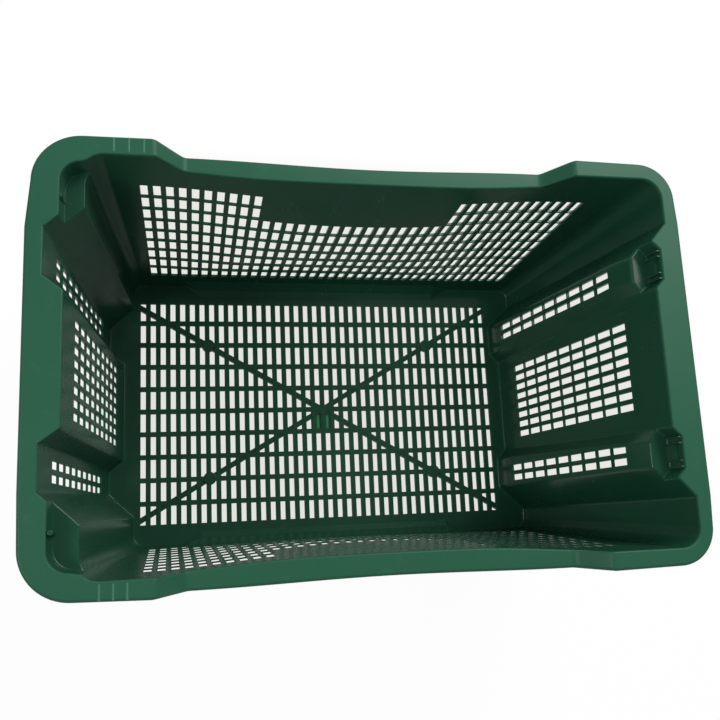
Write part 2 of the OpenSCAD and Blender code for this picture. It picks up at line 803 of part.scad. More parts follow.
// Upright gussets between the end walls and the skirts
gusset_h = skirt_drop - 2;
gusset_ys = [for (i = [-1.5:1:1.5]) i * gusset_pitch];
gusset_low = flange_low - gusset_h;
gusset_face = [
    [-end_x(gusset_low) - wall_t, gusset_low], [skirt_t - half_l, gusset_low],
    [skirt_t - half_l, flange_low], [-end_x(flange_low) - wall_t, flange_low]];
module end_gussets() {
    color(tub_green)
    for (s = [0, 1], y = gusset_ys)
        mirror([s, 0, 0])
        translate([0, y + gusset_t / 2, 0])
        rotate([90, 0, 0])
        linear_extrude(gusset_t)
        polygon(gusset_face);
}

floor_grille();
floor_border_left();
floor_border_right();
floor_border_back();
front() floor_border_back();  // floor_border_front
foot_rail_left();
foot_rail_right();
foot_rail_back();
front() foot_rail_back();  // foot_rail_front
diagonal_rib_a();
diagonal_rib_b();
gate_hub();
gate_webs();
rib_bosses();
side_cove();  // side_cove_back
front() side_cove();  // side_cove_front
long_wall();  // long_wall_back
front() long_wall();  // long_wall_front
left_end_panel();
left_bay_step();  // left_bay_step_back
front() left_bay_step();  // left_bay_step_front
left_bay();  // left_bay_back
front() left_bay();  // left_bay_front
left_column_step();  // left_column_step_back
front() left_column_step();  // left_column_step_front
left_column();  // left_column_back
front() left_column();  // left_column_front
left_shelf();  // left_shelf_back
front() left_shelf();  // left_shelf_front
left_collar();  // left_collar_back
front() left_collar();  // left_collar_front
right_end_panel();
right_strip_step();  // right_strip_step_back
front() right_strip_step();  // right_strip_step_front
right_strip();  // right_strip_back
front() right_strip();  // right_strip_front
right_corner_step();  // right_corner_step_back
front() right_corner_step();  // right_corner_step_front
right_corner();  // right_corner_back
front() right_corner();  // right_corner_front
right_seat();  // right_seat_back
front() right_seat();  // right_seat_front
right_collar();  // right_collar_back
front() right_collar();  // right_collar_front
right_pocket_ribs();
left_rim();
right_rim();
left_corner_rim();  // left_corner_rim_back
front() left_corner_rim();  // left_corner_rim_front
right_corner_rim();  // right_corner_rim_back
front() right_corner_rim();  // right_corner_rim_front
saddle_rim();  // saddle_rim_back
front() saddle_rim();  // saddle_rim_front
flip() slope_rim();  // slope_rim_left_back
front() flip() slope_rim();  // slope_rim_left_front
slope_rim();  // slope_rim_right_back
front() slope_rim();  // slope_rim_right_front
rim_bars();
end_gussets();
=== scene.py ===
from math import cos, pi, radians, sin, tan

import bmesh
import bpy
from mathutils import Matrix, Vector


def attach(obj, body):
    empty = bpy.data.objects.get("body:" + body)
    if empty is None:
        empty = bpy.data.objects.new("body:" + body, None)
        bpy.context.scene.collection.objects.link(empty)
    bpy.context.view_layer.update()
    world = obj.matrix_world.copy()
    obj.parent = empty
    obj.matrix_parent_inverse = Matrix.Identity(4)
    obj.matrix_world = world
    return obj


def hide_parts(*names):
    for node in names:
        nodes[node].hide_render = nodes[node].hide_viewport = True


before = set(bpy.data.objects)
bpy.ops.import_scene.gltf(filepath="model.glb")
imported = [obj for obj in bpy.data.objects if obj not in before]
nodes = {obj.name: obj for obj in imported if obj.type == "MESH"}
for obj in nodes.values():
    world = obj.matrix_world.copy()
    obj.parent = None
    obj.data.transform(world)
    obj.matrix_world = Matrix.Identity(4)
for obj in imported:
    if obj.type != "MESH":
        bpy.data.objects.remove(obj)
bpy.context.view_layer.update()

bpy.ops.object.select_all(action="DESELECT")
MM = 0.001

# Camera, fitted to the photograph: turn and place of the view, and focal length in pixels
scene = bpy.context.scene
camera = bpy.data.objects.new("photo_camera", bpy.data.cameras.new("photo_camera"))
scene.collection.objects.link(camera)
turn = Vector((2.929068, -0.036830, 0.322708))
seen = Matrix.Rotation(turn.length, 3, turn.normalized()).transposed() @ Matrix.Diagonal((1, -1, -1))
camera.matrix_world = Matrix.Translation(Vector((-162.980, -125.800, 916.729)) * MM) @ seen.to_4x4()
SENSOR, FOCAL_PIXELS, PHOTO_PIXELS = 36, 854.02, 720
camera.data.sensor_width = SENSOR
camera.data.lens = FOCAL_PIXELS / PHOTO_PIXELS * SENSOR
scene.camera = camera
scene.view_settings.view_transform = "Standard"

# Sizes, in millimetres
# thickness
LEFT_WALL = 2.0
BACK_BAY = 2.5
RIGHT_WALL = 2.7
BACK_WALL = 2.8
FRONT_WALL = 1.3
FLANGE = 3
SKIRT = 2
# heights
FLOOR = 6.5
LIP = 0.06
FOOT = FLOOR + LIP
BEND_LOW, BEND_HIGH = 36, 250
SEAT = 275
SKIRT_LOW = 276
TOP = 295
FLANGE_LOW = TOP - FLANGE
SADDLE_TOP = 273
SADDLE_WALL_TOP = 271.5
SLOPE_WALL_LOW = 272
SADDLE_SKIRT = 19
# plan: outer edge of the rim, inner faces of the walls at the rim, and how these step in and out
HALF_LENGTH, HALF_WIDTH = 265, 170
END_TOP, SIDE_TOP = 237.5, 155.5
END_SLOPE = tan(radians(5.5))
SIDE_SLOPE = tan(radians(3.7))
DRAFT = 0.032
SADDLE_HALF = 150
SLOPE_END = 175
PANEL_EDGE = 45
LIP_REACH = 5
BAY_OUT = 14.5
COLUMN_IN = 10.5
STRIP_IN = 8.5
POCKET_OUT = 7.5
RECESS_R = 15.5
PANEL_LEAN, STRIP_LEAN = 2.7, 5.6
BOW = 11.5
BOW_REACH = 190.046
BOW_FOOT = 20
BACK_BOW_RISE, FRONT_BOW_RISE = 160, 168
LEFT_SEAM = -186
RIGHT_SEAM = 207
FRONT_PULL = 3
# how far these faces end from the side wall, and how wide the slanted steps beside them are
COLUMN_FROM_SIDE, COLUMN_STEP = 25.7, 23
BAY_FROM_SIDE, BAY_STEP = 75.7, 11
CORNER_FROM_SIDE, CORNER_STEP = 20.7, 25
STRIP_WIDTH, STRIP_STEP = 55.5, 10.5
# where, along a slanted step, a wall is split into two pieces and a recess starts
LEFT_SPLIT, LEFT_RECESS, FRONT_RECESS = 0.2, 0.42, 0.27
RIGHT_SPLIT, RIGHT_RECESS = 0.7, 0.3696
# slots
SLOT_W = 6
PITCH = 10.25
ROW_H = 21.4
ROW_Z = [53.3 + 23.1 * j for j in range(9)]
PANEL_YS = [PITCH * (i - 3.5) for i in range(8)]
BAY_YS = [73.818, 84.068]
STRIP_YS = [72.708, 82.958]
LONG_XS = [-179.375 + PITCH * i for i in range(38)]
BLANK_ROWS = 7
BLANK_HALF = 82
BACK_ROWS_LOWER = 5
# roundings
FOLD_ROUND = 2.2
SLOT_ROUND = 0.35
OUTER_ROUND = 2.6
INNER_ROUND = 1.4
LEFT_CORNER_R, RIGHT_CORNER_R = 37, 31


def end_x(z):
    return END_TOP - END_SLOPE * (TOP - z)


def side_y(z):
    return SIDE_TOP - SIDE_SLOPE * (TOP - z)


def between(p, q, share):
    return (p[0] + share * (q[0] - p[0]), p[1] + share * (q[1] - p[1]))


def arc(cx, cy, r, steps=8):
    """A quarter circle in plan, from its left to its far side."""
    return [(cx - r * cos(pi / 2 * i / steps), cy + r * sin(pi / 2 * i / steps)) for i in range(steps + 1)]


def corner(x, z):
    """The rounded corner of the tub in plan, wider towards the rim."""
    r = 10 + 7 * z / TOP
    return arc(x + r, side_y(z) - r, r)


def left_faces(z, pull=0):
    """Plan points of the left end: panel, bay and column. The front ones are pulled in a little."""
    x = -end_x(z)
    bay = side_y(0) - BAY_FROM_SIDE
    column = side_y(0) - COLUMN_FROM_SIDE + DRAFT * z - pull
    return [(x, bay - BAY_STEP), (x - BAY_OUT, bay), (x - BAY_OUT, column - COLUMN_STEP), (x + COLUMN_IN, column)]


def stands_in(z, most, end):
    """The right wall stands in by this much where its slots are, less at the foot and not at all at the end."""
    return most * min(1, 0.5 + 0.5 * (z - FOOT) / (BEND_LOW - FOOT), (end - z) / (end - BEND_HIGH)) if z < end else 0


def right_faces(z):
    """Plan points of the right end: panel, strip and corner."""
    x, corner_y = -end_x(z), side_y(0) - CORNER_FROM_SIDE
    strip_y = corner_y - STRIP_WIDTH + DRAFT * z
    panel_face = x + stands_in(z, PANEL_LEAN, FLANGE_LOW)
    strip_face = x + STRIP_IN + stands_in(z, STRIP_LEAN, SEAT)
    return [(panel_face, strip_y - STRIP_STEP), (strip_face, strip_y), (strip_face, corner_y - CORNER_STEP),
            (x - BAY_OUT, corner_y)]


def bow(x, z, front=False):
    """How far a long wall bows in; the front one reaches its full bow a little higher up."""
    along = BOW * (1 + cos(pi * x / BOW_REACH)) / 2 if abs(x) < BOW_REACH else 0
    rise = FRONT_BOW_RISE if front else BACK_BOW_RISE
    up = BOW * max(0, sin(pi / 2 * (z - BOW_FOOT) / rise)) ** 1.5
    power = 3
    if along <= 0 or up <= 0:
        return 0
    return (along ** -power + up ** -power) ** (-1 / power) * (1 + 0.12 * min(along, up) / BOW)


# Modelling, as by hand
def only(piece):
    bpy.ops.object.select_all(action="DESELECT")
    piece.select_set(True)
    bpy.context.view_layer.objects.active = piece


def edit(piece):
    only(piece)
    bpy.ops.object.mode_set(mode="EDIT")
    return bmesh.from_edit_mesh(piece.data)


def done():
    bpy.ops.object.mode_set(mode="OBJECT")


def pick(piece, kind, test):
    """Selects the faces or edges that pass the test, and tells how many they are."""
    bpy.ops.mesh.select_mode(type=kind)
    bpy.ops.mesh.select_all(action="DESELECT")
    net = bmesh.from_edit_mesh(piece.data)
    picked = [part for part in (net.faces if kind == "FACE" else net.edges) if test(part)]
    for part in picked:
        part.select_set(True)
    net.select_flush_mode()
    bmesh.update_edit_mesh(piece.data)
    return len(picked)


def pick_faces(piece, test):
    return pick(piece, "FACE", lambda f: test(f.calc_center_median() / MM, f.normal))


def everywhere(c, n):
    return True


def middle(e):
    return (e.verts[0].co + e.verts[1].co) / 2 / MM


def fold_angle(e):
    return e.calc_face_angle(0) * 180 / pi if len(e.link_faces) == 2 else 0


def folded_wall(name, rows):
    """A wall drawn up from its plan: one point is extruded along the foot, and the line is extruded up."""
    rows = [[Vector(p) * MM for p in row] for row in rows]
    bpy.ops.mesh.primitive_plane_add(size=0.002, location=rows[0][0])
    piece = bpy.context.object
    piece.name = piece.data.name = name
    bpy.ops.object.transform_apply(location=True, rotation=True, scale=True)
    bpy.ops.object.mode_set(mode="EDIT")
    bpy.ops.mesh.select_mode(type="VERT")
    bpy.ops.mesh.select_all(action="SELECT")
    bpy.ops.mesh.merge(type="CENTER")
    for here, there in zip(rows[0], rows[0][1:]):
        bpy.ops.mesh.extrude_vertices_move(TRANSFORM_OT_translate={"value": there - here})
    net = bmesh.from_edit_mesh(piece.data)
    station = net.verts.layers.int.new("station")
    for v in net.verts:
        v[station] = min(range(len(rows[0])), key=lambda i: (v.co - rows[0][i]).length)
    bmesh.update_edit_mesh(piece.data)
    bpy.ops.mesh.select_all(action="SELECT")
    for low, high in zip(rows, rows[1:]):
        bpy.ops.mesh.extrude_edges_move(TRANSFORM_OT_translate={"value": high[0] - low[0]})
        net = bmesh.from_edit_mesh(piece.data)
        station = net.verts.layers.int["station"]
        for v in net.verts:
            if v.select:
                v.co = high[v[station]]
        bmesh.update_edit_mesh(piece.data)
    bpy.ops.mesh.select_all(action="SELECT")
    bpy.ops.mesh.remove_doubles(threshold=0.00002)
    done()
    return piece


def face_inwards(piece):
    """The shown side of a wall looks at the middle of the tub."""
    edit(piece)
    bpy.ops.mesh.select_all(action="SELECT")
    bpy.ops.mesh.normals_make_consistent(inside=False)
    net = bmesh.from_edit_mesh(piece.data)
    lean = sum(f.calc_area() * f.normal.dot(Vector((0, 0, 0.33)) - f.calc_center_median()) for f in net.faces)
    if lean < 0:
        bpy.ops.mesh.flip_normals()
    done()


def bevel_edges(piece, test, size, steps):
    edit(piece)
    if pick(piece, "EDGE", test):
        bpy.ops.mesh.bevel(offset=size * MM, segments=steps, profile=0.5, affect="EDGES", clamp_overlap=True)
    done()


def face_outwards():
    """In edit mode: the whole piece is selected and its normals turned outward."""
    bpy.ops.mesh.select_all(action="SELECT")
    bpy.ops.mesh.normals_make_consistent(inside=False)


def slice_at(piece, test, places, normal):
    """Cuts the picked faces along planes that lie across the given direction."""
    edit(piece)
    for place in places:
        if pick_faces(piece, test):
            bpy.ops.mesh.bisect(plane_co=Vector(normal) * place * MM, plane_no=normal)
    done()


def drop_faces(piece, test):
    edit(piece)
    if pick_faces(piece, test):
        bpy.ops.mesh.delete(type="FACE")
    done()


def thicken(piece, thickness):
    only(piece)
    solid = piece.modifiers.new("thickness", "SOLIDIFY")
    solid.thickness = thickness * MM
    solid.offset = -1
    solid.use_even_offset = False
    bpy.ops.object.modifier_apply(modifier="thickness")


def round_slots(piece, test):
    bevel_edges(piece, lambda e: fold_angle(e) > 60 and test(middle(e)), SLOT_ROUND, 1)


def smooth(piece):
    """Smooth shading that keeps the large faces flat and lets only the roundings shade over."""
    only(piece)
    bpy.ops.object.shade_smooth_by_angle(angle=radians(32))
    weighted = piece.modifiers.new("flat_faces", "WEIGHTED_NORMAL")
    weighted.keep_sharp = True
    weighted.weight = 80
    bpy.ops.object.modifier_apply(modifier="flat_faces")


def other_end(piece):
    piece.data.transform(Matrix.Scale(-1, 4, (1, 0, 0)))
    piece.data.flip_normals()


def other_side(piece):
    piece.data.transform(Matrix.Scale(-1, 4, (0, 1, 0)))
    piece.data.flip_normals()


def front_twin(piece):
    """A copy of a back piece with its own mesh, mirrored to the front side of the tub."""
    twin = piece.copy()
    twin.data = piece.data.copy()
    twin.name = twin.data.name = piece.name.replace("_back", "_front")
    scene.collection.objects.link(twin)
    other_side(twin)
    return twin


def joined(pieces, name):
    only(pieces[0])
    for piece in pieces[1:]:
        piece.select_set(True)
    bpy.ops.object.join()
    pieces[0].name = pieces[0].data.name = name
    return pieces[0]


def block(name, box, lean=0, narrow=None):
    """A cube stretched over a box (x, y, z from and to); its top is moved along x, or drawn in."""
    low, high = Vector(box[::2]), Vector(box[1::2])
    bpy.ops.mesh.primitive_cube_add(size=1, location=(low + high) / 2 * MM)
    piece = bpy.context.object
    piece.name = piece.data.name = name
    piece.scale = (high - low) * MM
    bpy.ops.object.transform_apply(location=True, rotation=True, scale=True)
    edit(piece)
    pick_faces(piece, lambda c, n: n.z > 0.9)
    if lean:
        bpy.ops.transform.translate(value=(lean * MM, 0, 0))
    if narrow:
        middle_top = Vector(((low.x + high.x) / 2 + lean, (low.y + high.y) / 2, high.z)) * MM
        bpy.ops.transform.resize(value=(*narrow, 1), center_override=middle_top)
    done()
    return piece


def finish(piece, material, slot, *stands_for):
    """Shading and material for a piece, which is hung under the root body; the nodes it stands for are hidden."""
    smooth(piece)
    piece.data.materials.clear()
    piece.data.materials.append(material)
    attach(piece, "root")
    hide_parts(*stands_for)


def finish_pair(back, front, material, slot, *stands_for):
    finish(back, material, slot, *[n + "_back" for n in stands_for])
    finish(front, material, slot, *[n + "_front" for n in stands_for])


def near_slot(places):
    """True on and beside the slots that lie at these places along a wall."""
    def test(along, z):
        return (any(abs(along - p) < SLOT_W / 2 + 0.3 for p in places)
                and any(abs(z - r) < ROW_H / 2 + 0.3 for r in ROW_Z))
    return test


def slot_sides(places, width):
    return [p + s * width / 2 for p in places for s in (-1, 1)]


# Materials
def socket(group, name, kind, out=False, value=None):
    made = group.interface.new_socket(name=name, in_out="OUTPUT" if out else "INPUT", socket_type=kind)
    if value is not None:
        made.default_value = value


def node(tree, kind, **values):
    n = tree.nodes.new(kind)
    for key, value in values.items():
        setattr(n, key, value)
    return n


def moulded_group():
    """Colour, roughness and fine relief of moulded plastic: soft clouding, handling scuffs and a fine grain."""
    group = bpy.data.node_groups.new("moulded_plastic", "ShaderNodeTree")
    for name, value in (("Cloud", 0.12), ("Scuff", 0.35), ("Roughness", 0.4)):
        socket(group, name, "NodeSocketFloat", value=value)
    socket(group, "Colour", "NodeSocketColor", value=(0.05, 0.13, 0.08, 1))
    socket(group, "Worn", "NodeSocketColor", value=(0.1, 0.2, 0.14, 1))
    socket(group, "Colour", "NodeSocketColor", out=True)
    socket(group, "Roughness", "NodeSocketFloat", out=True)
    socket(group, "Height", "NodeSocketFloat", out=True)
    put = node(group, "NodeGroupInput")
    out = node(group, "NodeGroupOutput")
    place = node(group, "ShaderNodeTexCoord")
    link = group.links.new
    cloud = node(group, "ShaderNodeTexNoise")
    cloud.inputs["Scale"].default_value = 9
    cloud.inputs["Detail"].default_value = 3
    link(place.outputs["Object"], cloud.inputs["Vector"])
    streak_map = node(group, "ShaderNodeMapping")
    streak_map.inputs["Scale"].default_value = (60, 60, 7)
    link(place.outputs["Object"], streak_map.inputs["Vector"])
    streak = node(group, "ShaderNodeTexNoise")
    streak.inputs["Scale"].default_value = 1
    streak.inputs["Detail"].default_value = 6
    streak.inputs["Roughness"].default_value = 0.7
    link(streak_map.outputs["Vector"], streak.inputs["Vector"])
    scratch = node(group, "ShaderNodeMapRange")
    scratch.inputs["From Min"].default_value = 0.56
    scratch.inputs["From Max"].default_value = 0.74
    link(streak.outputs["Fac"], scratch.inputs["Value"])
    scuff = node(group, "ShaderNodeMath", operation="MULTIPLY")
    link(scratch.outputs["Result"], scuff.inputs[0])
    link(put.outputs["Scuff"], scuff.inputs[1])
    swing = node(group, "ShaderNodeMapRange")
    swing.inputs["To Min"].default_value = -1
    link(cloud.outputs["Fac"], swing.inputs["Value"])
    amount = node(group, "ShaderNodeMath", operation="MULTIPLY_ADD")
    amount.inputs[2].default_value = 1
    link(swing.outputs["Result"], amount.inputs[0])
    link(put.outputs["Cloud"], amount.inputs[1])
    tone = node(group, "ShaderNodeVectorMath", operation="SCALE")
    link(put.outputs["Colour"], tone.inputs[0])
    link(amount.outputs["Value"], tone.inputs["Scale"])
    mix = node(group, "ShaderNodeMix", data_type="RGBA")
    link(scuff.outputs["Value"], mix.inputs["Factor"])
    link(tone.outputs["Vector"], mix.inputs["A"])
    link(put.outputs["Worn"], mix.inputs["B"])
    link(mix.outputs["Result"], out.inputs["Colour"])
    rough = node(group, "ShaderNodeMath", operation="MULTIPLY_ADD")
    rough.inputs[1].default_value = 0.09
    link(swing.outputs["Result"], rough.inputs[0])
    link(put.outputs["Roughness"], rough.inputs[2])
    rougher = node(group, "ShaderNodeMath", operation="MULTIPLY_ADD")
    rougher.inputs[1].default_value = 0.18
    link(scuff.outputs["Value"], rougher.inputs[0])
    link(rough.outputs["Value"], rougher.inputs[2])
    link(rougher.outputs["Value"], out.inputs["Roughness"])
    grain = node(group, "ShaderNodeTexNoise")
    grain.inputs["Scale"].default_value = 1400
    grain.inputs["Detail"].default_value = 2
    link(place.outputs["Object"], grain.inputs["Vector"])
    wave = node(group, "ShaderNodeTexNoise")
    wave.inputs["Scale"].default_value = 28
    wave.inputs["Detail"].default_value = 1
    link(place.outputs["Object"], wave.inputs["Vector"])
    relief = node(group, "ShaderNodeMath", operation="MULTIPLY_ADD")
    relief.inputs[1].default_value = 6
    link(wave.outputs["Fac"], relief.inputs[0])
    link(grain.outputs["Fac"], relief.inputs[2])
    link(relief.outputs["Value"], out.inputs["Height"])
    return group


PLASTIC = moulded_group()


def plastic(name, colour, worn, roughness, shine=0.2, cloud=0.12, scuff=0.35, relief=0.00006):
    material = bpy.data.materials.new(name)
    material.use_nodes = True
    tree = material.node_tree
    shader = tree.nodes["Principled BSDF"]
    look = node(tree, "ShaderNodeGroup")
    look.node_tree = PLASTIC
    look.inputs["Colour"].default_value = (*colour, 1)
    look.inputs["Worn"].default_value = (*worn, 1)
    look.inputs["Roughness"].default_value = roughness
    look.inputs["Cloud"].default_value = cloud
    look.inputs["Scuff"].default_value = scuff
    bump = node(tree, "ShaderNodeBump")
    bump.inputs["Strength"].default_value = 0.35
    bump.inputs["Distance"].default_value = relief
    tree.links.new(look.outputs["Height"], bump.inputs["Height"])
    tree.links.new(look.outputs["Colour"], shader.inputs["Base Color"])
    tree.links.new(look.outputs["Roughness"], shader.inputs["Roughness"])
    tree.links.new(bump.outputs["Normal"], shader.inputs["Normal"])
    shader.inputs["IOR"].default_value = 1.5
    shader.inputs["Specular IOR Level"].default_value = shine
    material.diffuse_color = (*colour, 1)
    return material


# The wall and floor greens are darker copies of the rim's green, which is the same plastic: the difference is painted
# shade for the inside of the tub.
WALL_GREEN_PAINTED_SHADE = plastic("wall_green_painted_shade", (0.015, 0.087, 0.047), (0.04, 0.12, 0.08), 0.24, shine=0.4)
RIM_GREEN = plastic("rim_green", (0.027, 0.132, 0.075), (0.06, 0.19, 0.12), 0.42, shine=0.2, cloud=0.08, scuff=0.25)
# The bar green is lighter than the rim's green: a painted highlight for the glints on the raised bars.
BAR_GREEN_PAINTED_HIGHLIGHT = plastic("bar_green", (0.07, 0.24, 0.15), (0.10, 0.27, 0.19), 0.3, shine=0.5)
FLOOR_GREEN_PAINTED_SHADE = plastic("floor_green_painted_shade", (0.015, 0.084, 0.046), (0.04, 0.11, 0.07), 0.30, shine=0.35)
# The web green is much lighter than the body: painted light shining through the thin webs, and painted highlight.
WEB_GREEN_PAINTED_BACKLIGHT = plastic("web_green", (0.07, 0.38, 0.17), (0.10, 0.36, 0.20), 0.22, shine=0.5)


# End walls
def lip(path, reach):
    """The path moved in over the floor by reach, for the rounded foot of a wall."""
    moved = []
    for i, p in enumerate(path):
        a = path[max(i - 1, 0)]
        b = path[min(i + 1, len(path) - 1)]
        u = Vector((p[0] - a[0], p[1] - a[1])).normalized() if i else None
        v = Vector((b[0] - p[0], b[1] - p[1])).normalized() if i < len(path) - 1 else None
        u, v = u or v, v or u
        m = Vector((u[1] + v[1], -u[0] - v[0])).normalized()
        n = Vector((u[1], -u[0]))
        moved.append((p[0] + m[0] * reach / max(0.4, m.dot(n)), p[1] + m[1] * reach / max(0.4, m.dot(n))))
    return moved


def at(path, z):
    return [(x, y, z) for x, y in path]


def left_bay_path(z, pull=0):
    p = left_faces(z, pull)
    return [(p[0][0], PANEL_EDGE), *p[:3], between(p[2], p[3], LEFT_SPLIT)]


def left_corner_low(z, pull=0, share=LEFT_RECESS):
    """The left corner below its shelf: step, column and the rounded corner of the tub."""
    p = left_faces(z, pull)
    leave = between(p[2], p[3], share)
    round_corner = corner(p[3][0], z)
    return [
        between(p[2], p[3], LEFT_SPLIT), leave, *[between(leave, p[3], i / 4) for i in (1, 2, 3)], p[3],
        between(p[3], round_corner[0], 0.5), *round_corner, (LEFT_SEAM, side_y(z))]


def left_corner_high(z, pull=0, share=LEFT_RECESS):
    """The same above the shelf, where the wall steps back into a rounded recess."""
    p = left_faces(z, pull)
    leave = between(p[2], p[3], share)
    round_corner = corner(p[3][0], z)
    recess = arc(leave[0] + RECESS_R, round_corner[4][1] - 17, RECESS_R)
    return [between(p[2], p[3], LEFT_SPLIT), leave, *recess, *round_corner[4:], (LEFT_SEAM, side_y(z))]


def right_strip_low(z):
    p = right_faces(z)
    return [(p[0][0], PANEL_EDGE), *p[:3], between(p[2], p[3], RIGHT_RECESS), between(p[2], p[3], RIGHT_SPLIT)]


def right_strip_high(z):
    """The right strip above its seat, where the wall steps back into the pocket."""
    p = right_faces(z)
    back = -end_x(z) - POCKET_OUT
    leave = between(p[2], p[3], RIGHT_RECESS)
    return [(p[0][0], PANEL_EDGE), p[0], (back, p[0][1] + POCKET_OUT), (back, leave[1] - POCKET_OUT), leave,
            between(p[2], p[3], RIGHT_SPLIT)]


def right_corner_path(z):
    p = right_faces(z)
    return [between(p[2], p[3], RIGHT_SPLIT), p[3], *corner(p[3][0], z), (-RIGHT_SEAM, side_y(z))]


def wall_rows(low, high=None, bends=()):
    """The plan of a wall at each height, from the foot up; high is its plan above a shelf or seat."""
    foot = low(FOOT)
    rows = [at(lip(foot, LIP_REACH), FOOT), at(foot, FOOT), *[at(low(z), z) for z in bends]]
    if high is None:
        return rows + [at(low(FLANGE_LOW), FLANGE_LOW)]
    return rows + [at(low(SEAT), SEAT), at(high(SEAT), SEAT), at(high(FLANGE_LOW), FLANGE_LOW)]


def slotted_end(piece, ys, face_x, thickness):
    """Slots through one flat face of an end wall."""
    near = near_slot(ys)
    low, high = min(ys) - PITCH / 2 - 12, max(ys) + PITCH / 2 + 12

    def on_face(c, n):
        return abs(abs(c.x) - face_x(c.z)) < 1 and abs(n.x) > 0.9

    def around_slots(c, n):
        return low < c.y < high and 10 < c.z < 290 and on_face(c, n)

    def in_slot(c, n):
        return on_face(c, n) and any(abs(c.y - y) < 1 for y in ys) and any(abs(c.z - z) < 3 for z in ROW_Z)
    slice_at(piece, around_slots, slot_sides(ys, SLOT_W), (0, 1, 0))
    slice_at(piece, around_slots, slot_sides(ROW_Z, ROW_H), (0, 0, 1))
    drop_faces(piece, in_slot)
    thicken(piece, thickness)
    round_slots(piece, lambda m: near(m.y, m.z) and abs(abs(m.x) - face_x(m.z)) < 3.2)


def end_wall(name, rows, ys=None, face_x=None, right=False, thickness=LEFT_WALL):
    """One piece of an end wall, drawn at the left end and turned over for the right one."""
    piece = folded_wall(name, [[(-x, y, z) for x, y, z in row] for row in rows] if right else rows)
    face_inwards(piece)
    bevel_edges(piece, lambda e: fold_angle(e) > 20, FOLD_ROUND, 3)
    if ys:
        slotted_end(piece, ys, face_x, thickness)
    else:
        thicken(piece, thickness)
    return piece


def panel_x(z):
    return -right_faces(z)[0][0]


def strip_x(z):
    return -right_faces(z)[1][0]


def bay_x(z):
    return end_x(z) + BAY_OUT


def end_panel(name, right):
    face = panel_x if right else end_x
    levels = (FOOT, BEND_LOW, BEND_HIGH, FLANGE_LOW) if right else (FOOT, FLANGE_LOW)
    places = [(LIP_REACH - face(FOOT), FOOT), *[(-face(z), z) for z in levels]]
    rows = [[(x, -PANEL_EDGE, z), (x, PANEL_EDGE, z)] for x, z in places]
    return end_wall(name, rows, PANEL_YS, face, right, RIGHT_WALL if right else LEFT_WALL)


left_panel = end_panel("left_panel", False)
finish(left_panel, WALL_GREEN_PAINTED_SHADE, "body", "left_end_panel")
right_panel = end_panel("right_panel", True)
finish(right_panel, WALL_GREEN_PAINTED_SHADE, "body", "right_end_panel")


def bay_front(z):
    return left_bay_path(z, FRONT_PULL)


def low_front(z):
    return left_corner_low(z, FRONT_PULL, FRONT_RECESS)


def high_front(z):
    return left_corner_high(z, FRONT_PULL, FRONT_RECESS)


def nub(piece, x, y):
    """A small half-round upright on the wall above the shelf, joined to the wall."""
    bpy.ops.mesh.primitive_cylinder_add(vertices=20, radius=2.1 * MM, depth=19 * MM, location=(x * MM, y * MM, 0.2845))
    peg = bpy.context.object
    bpy.ops.object.transform_apply(location=True, rotation=True, scale=True)
    bevel_edges(peg, lambda e: middle(e).z > 293.9, 0.9, 3)
    joined([piece, peg], piece.name)


left_bay = end_wall("left_bay_wall_back", wall_rows(left_bay_path), BAY_YS, bay_x, thickness=BACK_BAY)
left_bay_front = end_wall("left_bay_wall_front", wall_rows(bay_front), [y - 2 for y in BAY_YS], bay_x)
left_corner = end_wall("left_corner_wall_back", wall_rows(left_corner_low, left_corner_high))
left_corner_front = end_wall("left_corner_wall_front", wall_rows(low_front, high_front))
nub(left_corner, -241.2, 122)
nub(left_corner_front, -242.6, 121.4)
for piece in (left_bay_front, left_corner_front):
    other_side(piece)
strip_rows = wall_rows(right_strip_low, right_strip_high, (BEND_LOW, BEND_HIGH))
corner_rows = wall_rows(right_corner_path, None, (BEND_LOW, BEND_HIGH, SEAT))
right_strip = end_wall("right_strip_wall_back", strip_rows, STRIP_YS, strip_x, right=True, thickness=RIGHT_WALL)
right_corner = end_wall("right_corner_wall_back", corner_rows, right=True, thickness=RIGHT_WALL)

finish_pair(left_bay, left_bay_front, WALL_GREEN_PAINTED_SHADE, "body", "left_bay_step", "left_bay")
finish_pair(left_corner, left_corner_front, WALL_GREEN_PAINTED_SHADE, "body",
            "left_column_step", "left_column", "left_shelf", "left_collar")
finish_pair(right_strip, front_twin(right_strip), WALL_GREEN_PAINTED_SHADE, "body",
            "right_strip_step", "right_strip", "right_seat", "right_collar")
finish_pair(right_corner, front_twin(right_corner), WALL_GREEN_PAINTED_SHADE, "body", "right_corner_step", "right_corner")


# Long walls
def fanned(x, z):
    """How far the slots of the back wall stand from an even grid along it."""
    up = (z - ROW_Z[0]) / (ROW_Z[8] - ROW_Z[0])
    right = min(1, max(0, (x + 85) / 165)) - 0.93 * max(0, (x - 80) / 120)
    return (1 - up) * (1.4 + 2 * right) + up * (0.0148 * x - 0.7 + 4 * right)


